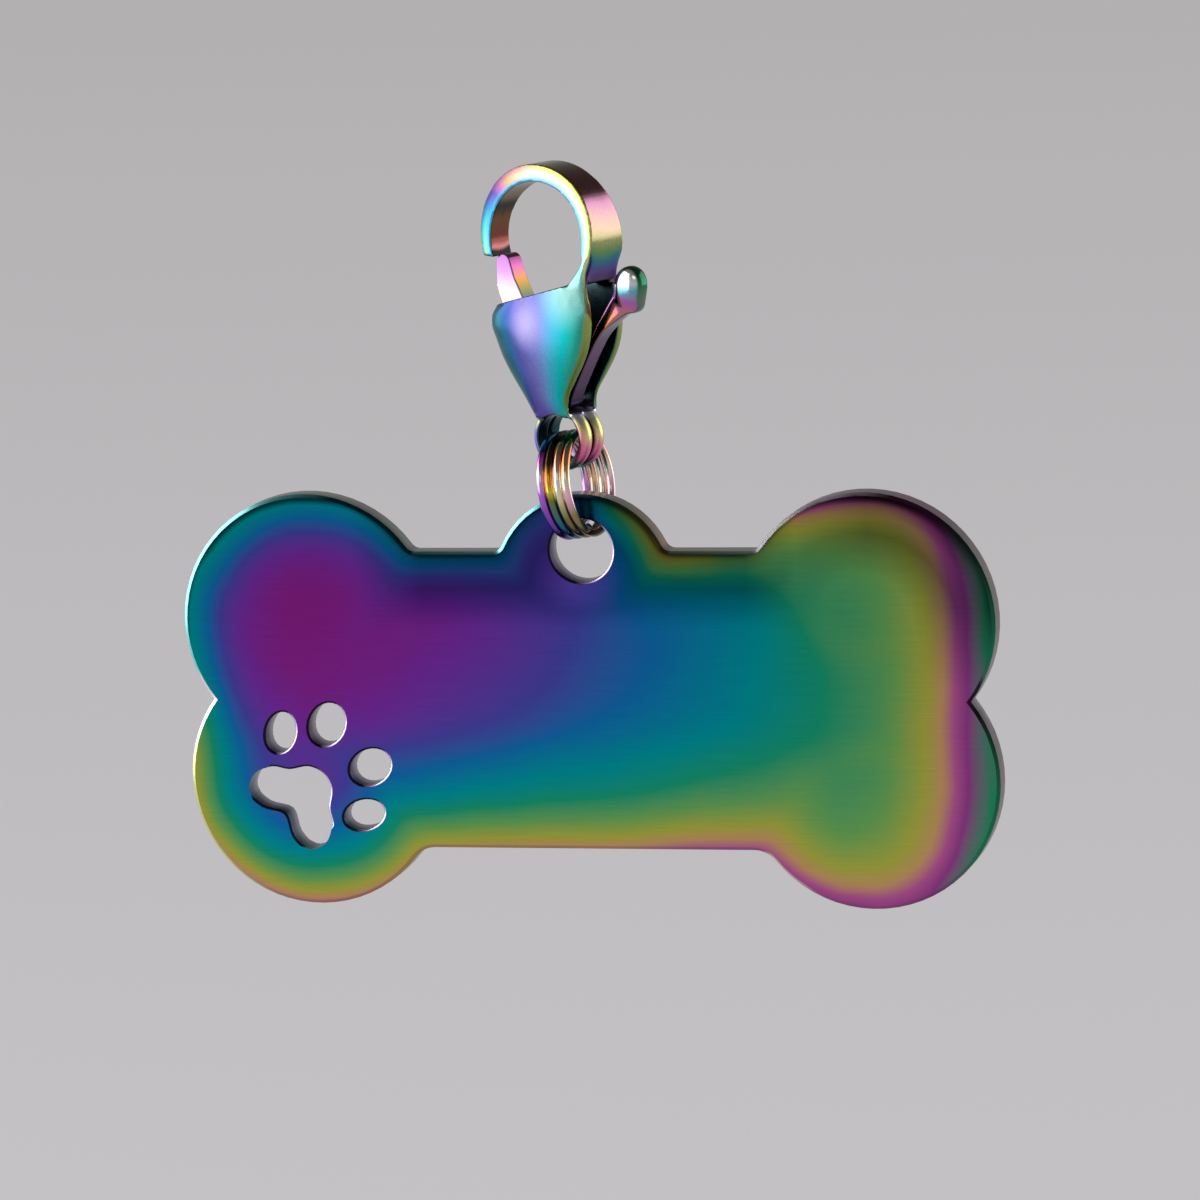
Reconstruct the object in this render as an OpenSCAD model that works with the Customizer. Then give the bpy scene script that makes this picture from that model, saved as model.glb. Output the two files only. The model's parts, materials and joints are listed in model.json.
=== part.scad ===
// Pet identity tag: a bone-shaped steel plate that hangs from a lobster clasp by two small split rings.
// Millimetres. The origin is the crown of the hook's inner curve, where the whole thing hangs.
// +Z is up, the plate faces -Y and its length runs along X.

/* [Plate] */
// Overall length of the bone
plate_length = 40; // [38:0.5:46]
// Thickness of the sheet
plate_thickness = 1.43; // [1:0.05:1.6]
// Radius of each of the four lobes
lobe_radius = 6.24; // [5.9:0.02:6.6]
// Height of a lobe's centre above or below the middle
lobe_rise = 3.81; // [3.3:0.03:4.2]
// Width of the waist between the lobes
waist_width = 14.48; // [13.6:0.04:15.2]
// Fillet where the top of the waist meets a lobe
top_fillet = 0.5; // [0.3:0.1:1]
// Fillet where the bottom of the waist meets a lobe
bottom_fillet = 1.2; // [0.6:0.1:1.8]
// Width of the polished bevel round the edge
edge_bevel = 0.16; // [0.08:0.02:0.24]

/* [Lug] */
// Radius of the lug
lug_radius = 4.35; // [4:0.05:5]
// Height of the top of the lug above the middle of the bone
lug_height = 10; // [9.6:0.1:10.8]
// Radius of the ring hole
hole_radius = 1.54; // [1.5:0.02:1.8]
// Wall between the hole and the top of the lug
lug_wall = 1.16; // [0.9:0.02:1.4]

/* [Paw cut-out] */
// Distance from the middle of the pad to the tip of its heel
pad_size = 3; // [2.4:0.1:3.2]
// Tilt of the paw from upright
paw_tilt = 45; // [30:1:60]
// Distance from the middle of the pad to the inner toes
toe_reach = 3.43; // [3.3:0.05:3.6]
// Half length of an inner toe
toe_length = 1.1; // [0.9:0.05:1.15]
// Half width of an inner toe
toe_width = 0.9; // [0.7:0.05:0.95]

/* [Split rings] */
// Radius of a ring, to the middle of its wire
ring_radius = 2.42; // [2.35:0.01:2.6]
// Diameter of the wire
wire_diameter = 0.4; // [0.3:0.02:0.42]
// Free gap between the two turns of a ring
turn_gap = 0.03; // [0.02:0.01:0.05]
// Free gap between the two rings
ring_gap = 0.07; // [0.04:0.01:0.1]
// Turn of the rings about the vertical
ring_turn = 11; // [8:1:14]
// Lean of the rings to the left
ring_lean = 8; // [5:1:9]

/* [Clasp] */
// Overall length of the clasp, from the hook's top to the eye's foot
clasp_length = 14.7; // [14.4:0.1:16]
// Turn of the clasp about the vertical
clasp_turn = 22; // [20:1:24]
// Inner radius of the hook
hook_radius = 2.87; // [2.7:0.01:3.1]
// Thickness of the hook's strap at its sides
strap_thickness = 0.61; // [0.5:0.01:0.8]
// Half depth of the strap at its root
strap_root = 1.45; // [1.2:0.05:1.55]
// Half depth of the strap at its crown
strap_crown = 1; // [0.8:0.05:1.2]
// Half depth of the strap at its tip
strap_tip = 0.73; // [0.6:0.01:0.95]
// Greatest width of the body
body_width = 6.2; // [5.8:0.1:6.6]
// Half thickness of the body at the crown of its cheeks
cheek_crown = 1.95; // [1.85:0.05:2.2]
// Wall round the body's slot
body_wall = 0.5; // [0.4:0.05:0.6]
// Width of the slot between the cheeks
slot_width = 2.1; // [1.9:0.05:2.3]
// Radius of the hole in the eye
eye_hole_radius = 1.18; // [1.16:0.01:1.3]
// Radial thickness of the eye
eye_wall = 0.42; // [0.34:0.02:0.5]
// Depth of the whole eye
eye_depth = 1.75; // [1.5:0.05:1.8]
// Groove between the two halves of the eye
eye_groove = 0.12; // [0.06:0.02:0.2]

/* [Lever] */
// Thickness of the lever
lever_thickness = 1; // [0.8:0.05:1.1]
// Radius of the rounded tip of the gate
gate_tip_radius = 0.4; // [0.3:0.02:0.42]
// Half height of the thumb knob
knob_height = 0.98; // [0.8:0.02:1.1]
// Half width of the thumb knob
knob_width = 0.74; // [0.6:0.02:0.8]
// Thickness of the thumb knob
knob_thickness = 1.1; // [1:0.05:1.4]
// Radius of the pivot pin
pin_radius = 0.28; // [0.22:0.01:0.3]
// Wall of the lever's hub round the pin
hub_wall = 0.19; // [0.15:0.01:0.2]
// Running clearance of the lever on its pin
pin_clearance = 0.03; // [0.02:0.01:0.05]
// Diameter of the spring's wire
spring_wire = 0.14; // [0.1:0.01:0.15]

/* [Hidden] */

// Overrun of every cut
over = 1;

// Points of an arc about c with radius r, from angle a to angle b in n steps
function arc(c, r, a, b, n) =
    [for (i = [0 : n]) c + r * [cos(a + (b - a) * i / n), sin(a + (b - a) * i / n)]];

// Closed smooth curve through hand-set points
function along(p, q, r, s, t) =
    0.5 * (2 * q + (r - p) * t + (2 * p - 5 * q + 4 * r - s) * t * t
           + (3 * q - p - 3 * r + s) * t * t * t);
function smooth_loop(pts, steps) =
    let (n = len(pts))
    [for (i = [0 : n - 1], k = [0 : steps - 1])
        along(pts[(i + n - 1) % n], pts[i], pts[(i + 1) % n], pts[(i + 2) % n], k / steps)];
// Open smooth curve through hand-set points
function smooth_line(pts, steps) =
    let (n = len(pts))
    concat([for (i = [0 : n - 2], k = [0 : steps - 1])
        along(pts[max(i - 1, 0)], pts[i], pts[i + 1], pts[min(i + 2, n - 1)], k / steps)],
        [pts[n - 1]]);
function sized(shares, size) = [for (s = shares) [s[0] * size[0], s[1] * size[1]]];
function unit(v) = v / norm(v);

// Side faces of a stack of rings with the same number of points, and its two plain convex ends
function wall_faces(rings, sides) = concat(
    [for (i = [0 : rings - 2], k = [0 : sides - 1])
        let (a = i * sides + k, b = i * sides + (k + 1) % sides)
        [a, a + sides, b]],
    [for (i = [0 : rings - 2], k = [0 : sides - 1])
        let (a = i * sides + k, b = i * sides + (k + 1) % sides)
        [b, a + sides, b + sides]]);
function end_faces(rings, sides) =
    [[for (k = [0 : sides - 1]) k], [for (k = [sides - 1 : -1 : 0]) (rings - 1) * sides + k]];

// Tube of round wire along a path, square to it at every point
wire_sides = 10;
module tube(path, radius, sides = wire_sides, ref = [1, 0, 0]) {
    n = len(path);
    tangents = [for (i = [0 : n - 1]) unit(path[min(i + 1, n - 1)] - path[max(i - 1, 0)])];
    rings = [for (i = [0 : n - 1])
        let (u = unit(ref - (ref * tangents[i]) * tangents[i]), w = cross(tangents[i], u))
        [for (k = [0 : sides - 1])
            let (a = 360 * k / sides)
            path[i] + radius * (cos(a) * u + sin(a) * w)]];
    polyhedron([for (ring = rings, p = ring) p], concat(wall_faces(n, sides), end_faces(n, sides)),
               convexity = 6);
}

// The plate, in its own frame: front face at y = 0, middle of the bone at the origin
lobe_x = plate_length / 2 - lobe_radius;
waist_half = waist_width / 2;
lug_z = lug_height - lug_radius;
hole_z = lug_height - lug_wall - hole_radius;

fillet_steps = 4;
lobe_steps = 32;
lug_steps = 10;
// One quarter of the bone from the waist's fillet to the notch between two lobes, drawn in by cut
function lobe_side(cut, fillet) =
    let (r = lobe_radius - cut, f = fillet + cut, line = waist_half - cut,
         fx = lobe_x - sqrt(pow(r + f, 2) - pow(line + f - lobe_rise, 2)),
         join = atan2(line + f - lobe_rise, fx - lobe_x),
         notch = -asin(lobe_rise / r))
    concat(arc([fx, line + f], f, 270, 180 + join, fillet_steps),
           skip_first(arc([lobe_x, lobe_rise], r, join, notch, lobe_steps)));
// Right half of the lug's outline, with a fillet where it meets the waist
function lug_side(cut) =
    let (r = lug_radius - cut, f = top_fillet + cut, line = waist_half - cut,
         fx = sqrt(pow(r + f, 2) - pow(line + f - lug_z, 2)),
         join = atan2(line + f - lug_z, fx))
    concat(arc([0, lug_z], r, 90, join, lug_steps),
           skip_first(arc([fx, line + f], f, 180 + join, 270, fillet_steps)));
function skip_first(pts) = [for (i = [1 : len(pts) - 1]) pts[i]];
function reversed(pts) = [for (i = [len(pts) - 1 : -1 : 0]) pts[i]];
function upside_down(pts) = [for (p = pts) [p[0], -p[1]]];
function mirrored(pts) = [for (p = pts) [-p[0], p[1]]];
function half_bone(cut) = concat(lug_side(cut), lobe_side(cut, top_fillet),
    skip_first(reversed(upside_down(lobe_side(cut, bottom_fillet)))));
function bone(cut) = let (h = half_bone(cut)) concat(h, reversed(mirrored(skip_first(h))));

// Each flat face is fanned out from five hubs, the middle of the bone and of each lobe. Lobe arcs run
// between the points numbered in lobe_ends
hubs = [[0, 0], [lobe_x, lobe_rise], [lobe_x, -lobe_rise], [-lobe_x, -lobe_rise], [-lobe_x, lobe_rise]];
bone_points = len(bone(0));
lobe_start = lug_steps + 1 + 2 * fillet_steps;
lobe_ends = [lobe_start, lobe_start + lobe_steps, lobe_start + 2 * lobe_steps,
             bone_points - lobe_start - 2 * lobe_steps, bone_points - lobe_start - lobe_steps,
             bone_points - lobe_start];
function within(k, i) = k >= lobe_ends[i] && k < lobe_ends[i + 1];
function hub_of(k) = within(k, 0) ? 1 : within(k, 1) ? 2 : within(k, 3) ? 3 : within(k, 4) ? 4 : 0;
face_fan = concat(
    [for (k = [0 : bone_points - 1]) [bone_points + hub_of(k), k, (k + 1) % bone_points]],
    [for (i = [0, 1, 3, 4]) let (hub = bone_points + hub_of(lobe_ends[i]))
        [bone_points, lobe_ends[i], hub]],
    [for (i = [0, 1, 3, 4]) let (hub = bone_points + hub_of(lobe_ends[i]))
        [bone_points, hub, lobe_ends[i + 1]]]);

module plate_blank() {
    levels = [[0, edge_bevel], [edge_bevel, 0],
              [plate_thickness - edge_bevel, 0], [plate_thickness, edge_bevel]];
    rings = [for (l = levels) [for (p = bone(l[1])) [p[0], l[0], p[1]]]];
    ends = [for (y = [0, plate_thickness]) [for (h = hubs) [h[0], y, h[1]]]];
    front = len(rings) * bone_points;
    back = front + len(hubs);
    polyhedron(
        concat([for (ring = rings, p = ring) p], ends[0], ends[1]),
        concat(wall_faces(len(levels), bone_points),
            [for (t = face_fan) [for (i = t) i < bone_points ? i : front + i - bone_points]],
            [for (t = face_fan) [for (j = [2, 1, 0])
                t[j] < bone_points ? front - bone_points + t[j] : back + t[j] - bone_points]]),
        convexity = 8);
}

// Paw: a three-lobed pad and four oval toes, laid out about an upright axis and then tilted
pad_shares = [[0, 0.44], [0.32, 0.33], [0.56, 0], [0.86, -0.22], [1.02, -0.58], [0.86, -0.93],
              [0.45, -0.95], [0, -0.72]];
pad_half_share = 0.62;
pad_outline = let (half = sized(pad_shares, pad_size * pad_half_share * [1, 1]))
    concat(half, reversed(mirrored([for (i = [1 : len(half) - 2]) half[i]])));
outer_toe_width_share = 0.88;
toe_place_shares = [[0.43, 0.9], [0.83, 0.33]];
module toe(length, width) {
    polygon([for (a = [0 : 15 : 345]) [width * cos(a), length * sin(a)]]);
}
module paw() {
    polygon(smooth_loop(pad_outline, 4));
    for (side = [-1, 1]) {
        translate([side * toe_reach * toe_place_shares[0][0], toe_reach * toe_place_shares[0][1]])
            toe(toe_length, toe_width);
        translate([side * toe_reach * toe_place_shares[1][0], toe_reach * toe_place_shares[1][1]])
            toe(toe_length * outer_toe_width_share, toe_width * outer_toe_width_share);
    }
}
paw_place_shares = [-0.07, -0.1];
paw_x = -lobe_x + lobe_radius * paw_place_shares[0];
paw_z = -lobe_rise + lobe_radius * paw_place_shares[1];

// Where the pieces stand. The rings are placed from the plate's hole, and the eye from the rings
wire_radius = wire_diameter / 2;
hole_play = 0.64;
eye_play = 0.88;
ring_z = hole_z + hole_radius - hole_play - wire_radius + ring_radius * cos(ring_lean);
eye_above_plate = ring_z + ring_radius * cos(ring_lean) + wire_radius + eye_play - eye_hole_radius;
turn_pitch = wire_diameter + turn_gap;
ring_pitch = wire_diameter + turn_pitch + ring_gap;

// The clasp, in its own frame: the hook's inner crown at the origin, the cheeks square to y
strap_crown_extra = 0.22;
hook_z = -hook_radius;
outer_radius = hook_radius + strap_thickness;
outer_z = hook_z + strap_crown_extra;
eye_outer_radius = eye_hole_radius + eye_wall;
eye_z = outer_z + outer_radius - clasp_length + eye_outer_radius;
shank = hook_z - eye_z;
eye_share = 0.123;
eye_x = body_width * eye_share;
tip_angle = 197;
shoulder_angle = -26;
shoulder_fillet = 1;
top_slope = 14.7;

function clasp_at(shares) = [for (s = shares) [s[0] * body_width, hook_z - s[1] * shank]];
// Right side of the body, from the shoulder down to the eye
right_shares = [[0.505, 0.19], [0.503, 0.24], [0.503, 0.333], [0.487, 0.428], [0.448, 0.519],
                [0.39, 0.604], [0.318, 0.683], [0.261, 0.752], [0.242, 0.821], [0.27, 0.89]];
// Left side, from the eye up to the top corner
left_shares = [[-0.105, 0.9], [-0.185, 0.832], [-0.297, 0.742], [-0.394, 0.625], [-0.466, 0.513],
               [-0.492, 0.434], [-0.476, 0.375], [-0.42, 0.341], [-0.363, 0.327]];
left_corner = clasp_at([left_shares[8]])[0];
fillet_x = hook_radius - shoulder_fillet;
fillet_z = left_corner[1] + (fillet_x - left_corner[0]) * tan(top_slope) + shoulder_fillet / cos(top_slope);
clasp_outline = concat(
    arc([0, outer_z], outer_radius, tip_angle, shoulder_angle, 64),
    smooth_line(clasp_at(right_shares), 3),
    smooth_line(clasp_at(left_shares), 3),
    arc([fillet_x, fillet_z], shoulder_fillet, 270 + top_slope, 360, 6),
    arc([0, hook_z], hook_radius, 0, tip_angle, 56));

// Pivot of the lever and where its tips are when the gate is shut
pivot = clasp_at([[0.137, 0.806]])[0];
hub_radius = pin_radius + pin_clearance + hub_wall;
gate_gap = 0.06;
gate_rest_angle = -36;
gate_tip = let (corner = [hook_radius * cos(tip_angle), hook_z + hook_radius * sin(tip_angle)])
    corner + (gate_tip_radius + gate_gap) * [cos(gate_rest_angle), sin(gate_rest_angle)];
knob_at = clasp_at([[0.766, 0.221]])[0];

// Form of a half body: a domed cheek that rolls into the closed left flank
cheek_radius = 11;
cheek_at = clasp_at([[0.05, 0.46]])[0];
flank_radius = 1.75;
flank_leans = [30, -28];
shoulder_z = clasp_at([[0, 0.157]])[0][1];
slot_half = slot_width / 2;

// Every clasp outline is drawn in x and z, and stands half before and half behind y = 0
module upright(depth) {
    rotate([90, 0, 0]) linear_extrude(depth, center = true, convexity = 8) children();
}

// Room that a rounded left flank leaves, through one point of the outline and leaning by an angle
module flank(at, lean) {
    translate([at[0], 0, at[1]]) rotate([0, -lean, 0]) translate([flank_radius, 0, 0]) {
        cylinder(h = 2 * clasp_length, r = flank_radius, center = true, $fn = 64);
        translate([0, -cheek_crown - over, -clasp_length])
            cube([2 * clasp_length, 2 * (cheek_crown + over), 2 * clasp_length]);
    }
}

module cheek_ball() {
    translate([cheek_at[0], cheek_radius - cheek_crown, cheek_at[1]]) sphere(cheek_radius, $fn = 96);
}

module body_form() {
    intersection() {
        cheek_ball();
        translate([-clasp_length, -cheek_crown - over, eye_z - clasp_length])
            cube([2 * clasp_length, cheek_crown + over, shoulder_z - eye_z + clasp_length]);
        flank(clasp_at([left_shares[4]])[0], flank_leans[0]);
        flank(clasp_at([left_shares[6]])[0], flank_leans[1]);
    }
}

strap_swell_share = 0.5;
// The front half as it is drawn, or mirrored to the back
module to_side(side) {
    if (side < 0) children();
    else mirror([0, 1, 0]) children();
}

// The strap tapers from its root up to the crown, and from there round to its tip
module strap_form() {
    reach = outer_radius + over;
    intersection() {
        translate([0, 0, shoulder_z]) linear_extrude(2 * outer_radius)
            polygon([[-reach, 0], [reach, 0], [reach, -strap_root],
                     [outer_radius * strap_swell_share, -strap_root], [0, -strap_crown],
                     [-outer_radius, -strap_tip], [-reach, -strap_tip]]);
        rotate([90, 0, 90]) linear_extrude(2 * reach, center = true)
            polygon([[0, shoulder_z], [-strap_root, shoulder_z], [-strap_crown, 0],
                     [-strap_crown, outer_radius], [0, outer_radius]]);
    }
}

// Room for the lever: open to the right and along the top, closed down the left flank and at the foot
slot_mouth_share = 0.42;
slot_foot_share = 0.87;
module slot_shape() {
    wall = [for (i = [4 : -1 : 1]) clasp_at([left_shares[i]])[0] + [body_wall, 0]];
    mouth = clasp_at([[0, slot_mouth_share]])[0];
    foot = clasp_at([[0, slot_foot_share]])[0];
    polygon(concat(smooth_line(concat([[wall[0][0], mouth[1]]], wall, [foot]), 4),
        [[body_width, foot[1]], [body_width, shoulder_z], [-body_width, shoulder_z],
         [-body_width, mouth[1]]]));
}

eye_crown_share = 0.63;
module eye_ring(side) {
    half = (eye_depth - eye_groove) / 2;
    crown = half * eye_crown_share;
    translate([eye_x, side * (eye_groove / 2 + half / 2), eye_z]) rotate([90, 0, 0])
        rotate_extrude($fn = 72) intersection() {
            translate([eye_hole_radius, -half / 2]) square([eye_wall, half]);
            translate([eye_outer_radius - crown, 0]) circle(crown, $fn = 48);
        }
}

module half_shell(side) {
    difference() {
        union() {
            to_side(side) intersection() {
                translate([0, -outer_radius / 2, 0]) upright(outer_radius) polygon(clasp_outline);
                union() {
                    body_form();
                    strap_form();
                }
            }
            eye_ring(side);
        }
        upright(slot_width) slot_shape();
        translate([pivot[0], 0, pivot[1]]) rotate([90, 0, 0])
            cylinder(h = 2 * outer_radius, r = pin_radius, center = true, $fn = 48);
        translate([eye_x, 0, eye_z]) rotate([90, 0, 0])
            cylinder(h = 2 * outer_radius, r = eye_hole_radius, center = true, $fn = 72);
    }
}

// Lever: gate arm up the left, thumb arm up the right, hub at the foot of the V
gate_left_shares = [[-0.452, 0.24], [-0.44, 0.27], [-0.418, 0.315], [-0.345, 0.42], [-0.22, 0.55],
                    [-0.07, 0.69]];
gate_right_shares = [[0.06, 0.66], [-0.03, 0.53], [-0.135, 0.4], [-0.216, 0.281], [-0.28, 0.196]];
thumb_inner_shares = [[0.66, 0.24], [0.571, 0.317], [0.5, 0.405], [0.41, 0.51], [0.3, 0.61], [0.19, 0.69]];
thumb_outer_shares = [[0.25, 0.758], [0.337, 0.654], [0.43, 0.549], [0.513, 0.471], [0.631, 0.402],
                      [0.757, 0.345]];
module lever_outline() {
    polygon(concat(
        arc(gate_tip, gate_tip_radius, 20, 190, 10),
        smooth_line(clasp_at(gate_left_shares), 3),
        arc(pivot, hub_radius, 165, 360, 13),
        smooth_line(clasp_at(thumb_outer_shares), 3),
        smooth_line(clasp_at(thumb_inner_shares), 3),
        smooth_line(clasp_at(gate_right_shares), 3)));
}
knob_lean = 12;
knob_crown_share = 1.01;
module knob() {
    translate([knob_at[0], 0, knob_at[1]]) intersection() {
        upright(knob_thickness) rotate(-knob_lean)
            polygon([for (a = [0 : 10 : 350]) [knob_width * cos(a), knob_height * sin(a)]]);
        sphere(knob_height * knob_crown_share, $fn = 64);
    }
}

// Torsion spring: a turn and a half of wire beside the hub, one leg on the gate arm and one on the foot
coil_turns = 1.5;
coil_gap = 0.05;
coil_pitch = spring_wire + coil_gap;
coil_radius = pin_radius + spring_wire / 2 + coil_gap;
coil_start = 100;
coil_y = -lever_thickness / 2 - coil_gap - spring_wire / 2;
spring_path = let (
        steps = 12 * coil_turns,
        turn = [for (i = [0 : steps]) let (a = coil_start - 360 * coil_turns * i / steps)
            [pivot[0] + coil_radius * cos(a), coil_y - coil_pitch * coil_turns * i / steps,
             pivot[1] + coil_radius * sin(a)]],
        first = turn[0], last = turn[steps],
        up = clasp_at([[0.01, 0.62]])[0])
    concat([[up[0] + 2 * spring_wire, coil_y + spring_wire, up[1]],
            [up[0] + 2 * spring_wire, coil_y, up[1] - spring_wire]],
        turn, [[last[0] + hub_radius, last[1], last[2]]]);

module clasp_frame() {
    rotate([0, 0, -clasp_turn]) children();
}
// The plate hangs below the eye. Its middle plane stands under the rings' axis
eye_side = 0.556;
eye_back = 0.88;
eye_in_row = [eye_x * cos(clasp_turn), -eye_x * sin(clasp_turn), eye_z];
plate_at = eye_in_row + [eye_side, -eye_back, -eye_above_plate];
module plate_frame() {
    translate(plate_at) children();
}

// One wire wound twice, stepping from one turn to the other over a short stretch behind the plate. Its
// two ends stop at either side of the step
joggle = 40;
ring_steps = 68;
ring_start = -25;
function eased(t) = t * t * (3 - 2 * t);
ring_path = [for (i = [0 : ring_steps])
    let (a = (720 - joggle) * i / ring_steps, step = eased(min(max((a - 360 + joggle) / joggle, 0), 1)))
    [(step - 0.5) * turn_pitch, ring_radius * cos(ring_start + a), ring_radius * sin(ring_start + a)]];
least_turn_gap = min([for (i = [0 : ring_steps], k = [i : ring_steps])
    if (k - i > ring_steps / 4) norm(ring_path[i] - ring_path[k])]) - wire_diameter;
echo(least_turn_gap = least_turn_gap);
ring_pair_x = -0.28;
ring_pair_y = 0.78;
module split_ring(side) {
    plate_frame() translate([ring_pair_x, ring_pair_y, ring_z]) rotate([0, -ring_lean, -ring_turn])
        translate([side * ring_pitch / 2, 0, 0]) tube(ring_path, wire_radius);
}

module tag_plate() {
    color("mediumpurple") plate_frame() difference() {
        plate_blank();
        translate([0, plate_thickness / 2, hole_z]) rotate([90, 0, 0])
            cylinder(h = plate_thickness + 2 * over, r = hole_radius, center = true, $fn = 72);
        translate([paw_x, plate_thickness / 2, paw_z]) upright(plate_thickness + 2 * over)
            rotate(-paw_tilt) paw();
    }
}
module split_ring_left() {
    color("goldenrod") split_ring(-1);
}
module split_ring_right() {
    color("orchid") split_ring(1);
}
module clasp_front_shell() {
    color("mediumturquoise") clasp_frame() half_shell(-1);
}
module clasp_back_shell() {
    color("cadetblue") clasp_frame() half_shell(1);
}
module clasp_lever() {
    color("plum") clasp_frame() difference() {
        union() {
            upright(lever_thickness) lever_outline();
            knob();
        }
        translate([pivot[0], 0, pivot[1]]) rotate([90, 0, 0])
            cylinder(h = 2 * outer_radius, r = pin_radius + pin_clearance, center = true, $fn = 48);
    }
}
module pivot_pin() {
    color("slategray") clasp_frame() intersection() {
        translate([pivot[0], 0, pivot[1]]) rotate([90, 0, 0])
            cylinder(h = 2 * outer_radius, r = pin_radius, center = true, $fn = 48);
        to_side(-1) cheek_ball();
        to_side(1) cheek_ball();
    }
}
module lever_spring() {
    color("dimgray") clasp_frame() tube(spring_path, spring_wire / 2, 6, [0, 1, 0]);
}

tag_plate();
split_ring_left();
split_ring_right();
clasp_front_shell();
clasp_back_shell();
clasp_lever();
pivot_pin();
lever_spring();
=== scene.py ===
import json
import math

import bmesh
import bpy
from mathutils import Matrix, Vector

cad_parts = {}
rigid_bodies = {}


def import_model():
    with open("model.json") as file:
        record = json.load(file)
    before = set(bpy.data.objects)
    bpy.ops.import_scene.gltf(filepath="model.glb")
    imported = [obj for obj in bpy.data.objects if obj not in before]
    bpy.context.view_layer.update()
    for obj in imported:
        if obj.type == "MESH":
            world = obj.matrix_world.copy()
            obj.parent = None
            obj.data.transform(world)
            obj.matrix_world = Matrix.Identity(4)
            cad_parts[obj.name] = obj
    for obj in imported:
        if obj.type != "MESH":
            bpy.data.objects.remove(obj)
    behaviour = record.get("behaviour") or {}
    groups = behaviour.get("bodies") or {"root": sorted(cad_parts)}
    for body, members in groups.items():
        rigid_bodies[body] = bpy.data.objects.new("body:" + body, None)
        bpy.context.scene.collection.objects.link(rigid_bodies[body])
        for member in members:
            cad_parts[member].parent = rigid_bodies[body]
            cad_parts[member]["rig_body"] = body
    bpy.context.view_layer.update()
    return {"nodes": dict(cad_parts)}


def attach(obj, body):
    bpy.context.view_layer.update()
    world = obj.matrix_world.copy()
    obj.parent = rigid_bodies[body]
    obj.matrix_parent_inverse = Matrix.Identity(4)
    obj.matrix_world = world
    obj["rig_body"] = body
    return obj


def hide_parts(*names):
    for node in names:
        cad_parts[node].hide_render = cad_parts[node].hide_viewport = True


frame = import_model()
nodes = frame["nodes"]
milli = 0.001
perMetre = 1000
# Attribute with each point's normal in its piece's own frame
normalsName = "ownNormal"
white = (1, 1, 1, 1)


def bodyOf(node):
    return nodes[node]["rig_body"]


def linear(code, gain=1.0):
    parts = [int(code[i:i + 2], 16) / 255 for i in (1, 3, 5)]
    return [gain * (p / 12.92 if p <= 0.04045 else ((p + 0.055) / 1.055) ** 2.4) for p in parts] + [1.0]


# Adds a node, sets or links its inputs in order and returns its first output. "Math ADD" names an operation
def put(tree, kind, *values, stops=None, gain=1.0, named=None, **settings):
    kind, _, operation = kind.partition(" ")
    made = tree.nodes.new("ShaderNode" + kind)
    if operation:
        made.operation = operation
    for key, value in settings.items():
        setattr(made, key, value)
    pairs = list(zip(made.inputs, values)) + [(made.inputs[k], v) for k, v in (named or {}).items()]
    for socket, value in pairs:
        if isinstance(value, bpy.types.NodeSocket):
            tree.links.new(value, socket)
        elif value is not None:
            socket.default_value = value
    if stops:
        ramp = made.color_ramp
        ramp.elements.remove(ramp.elements[1])
        ramp.elements[0].position = stops[0][0]
        ramp.elements[0].color = linear(stops[0][1], gain)
        for position, code in stops[1:]:
            ramp.elements.new(position).color = linear(code, gain)
    return made.outputs[0] if made.outputs else made


def between(tree, value, low, high):
    return put(tree, "MapRange", value, low, high, 0.0, 1.0, interpolation_type="SMOOTHSTEP")


def clamped(value):
    return min(max(value, 0), 1)


def multiplied(tree, colour, factor):
    return put(tree, "MixRGB", 1.0, colour, factor, blend_type="MULTIPLY")


# Noise as fine as a polished surface's, and a value that follows it
def fineNoise(tree, at, size):
    return put(tree, "TexNoise", at, None, size, 3.0, 0.6)


def following(tree, noise, low, high):
    return put(tree, "MapRange", noise, 0.3, 0.7, low, high)


# Slow noise about zero that lets the bands of colour wander
def wander(tree, at, size, span):
    return put(tree, "Math MULTIPLY_ADD", put(tree, "TexNoise", at, None, size, 2.0, 0.5), span, -span / 2)


def newMaterial(name):
    material = bpy.data.materials.new(name)
    material.use_nodes = True
    material.node_tree.nodes.clear()
    return material, material.node_tree


# Metal with a thin interference layer: the colour is the layer's, with whatever painted highlight and painted shade
# the caller mixed into it, and the gloss the polished steel's
def metalOutput(tree, colour, roughness, grain, height):
    bump = put(tree, "Bump", named={"Strength": 0.25, "Distance": height * milli, "Height": grain})
    steel = put(tree, "BsdfPrincipled", named={"Base Color": colour, "Metallic": 1.0, "Roughness": roughness,
                                               "Normal": bump})
    put(tree, "OutputMaterial", steel)


def ownNormal(tree):
    return put(tree, "Attribute", attribute_name=normalsName).node.outputs["Vector"]


def objectFrom(name, mesh):
    made = bpy.data.objects.new(name, mesh)
    bpy.context.scene.collection.objects.link(made)
    return made


# Makes an object in metres of a bmesh in millimetres, smooth but for its sharp edges
def finished(name, work, turn=Matrix.Identity(4), sharp=40):
    bmesh.ops.recalc_face_normals(work, faces=work.faces)
    work.transform(Matrix.Scale(milli, 4) @ turn)
    mesh = bpy.data.meshes.new(name)
    work.to_mesh(mesh)
    work.free()
    mesh.polygons.foreach_set("use_smooth", [True] * len(mesh.polygons))
    mesh.set_sharp_from_angle(angle=math.radians(sharp))
    return objectFrom(name, mesh)


# Copies CAD nodes into one welded bmesh, in millimetres and turned into a piece's own frame
def copied(names, turn=Matrix.Identity(4)):
    work = bmesh.new()
    for name in names:
        work.from_mesh(nodes[name].data)
    work.transform(turn @ Matrix.Scale(perMetre, 4))
    bmesh.ops.remove_doubles(work, verts=work.verts, dist=0.0005)
    return work


def only(parts, kind):
    return [g for g in parts if isinstance(g, kind)]


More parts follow.
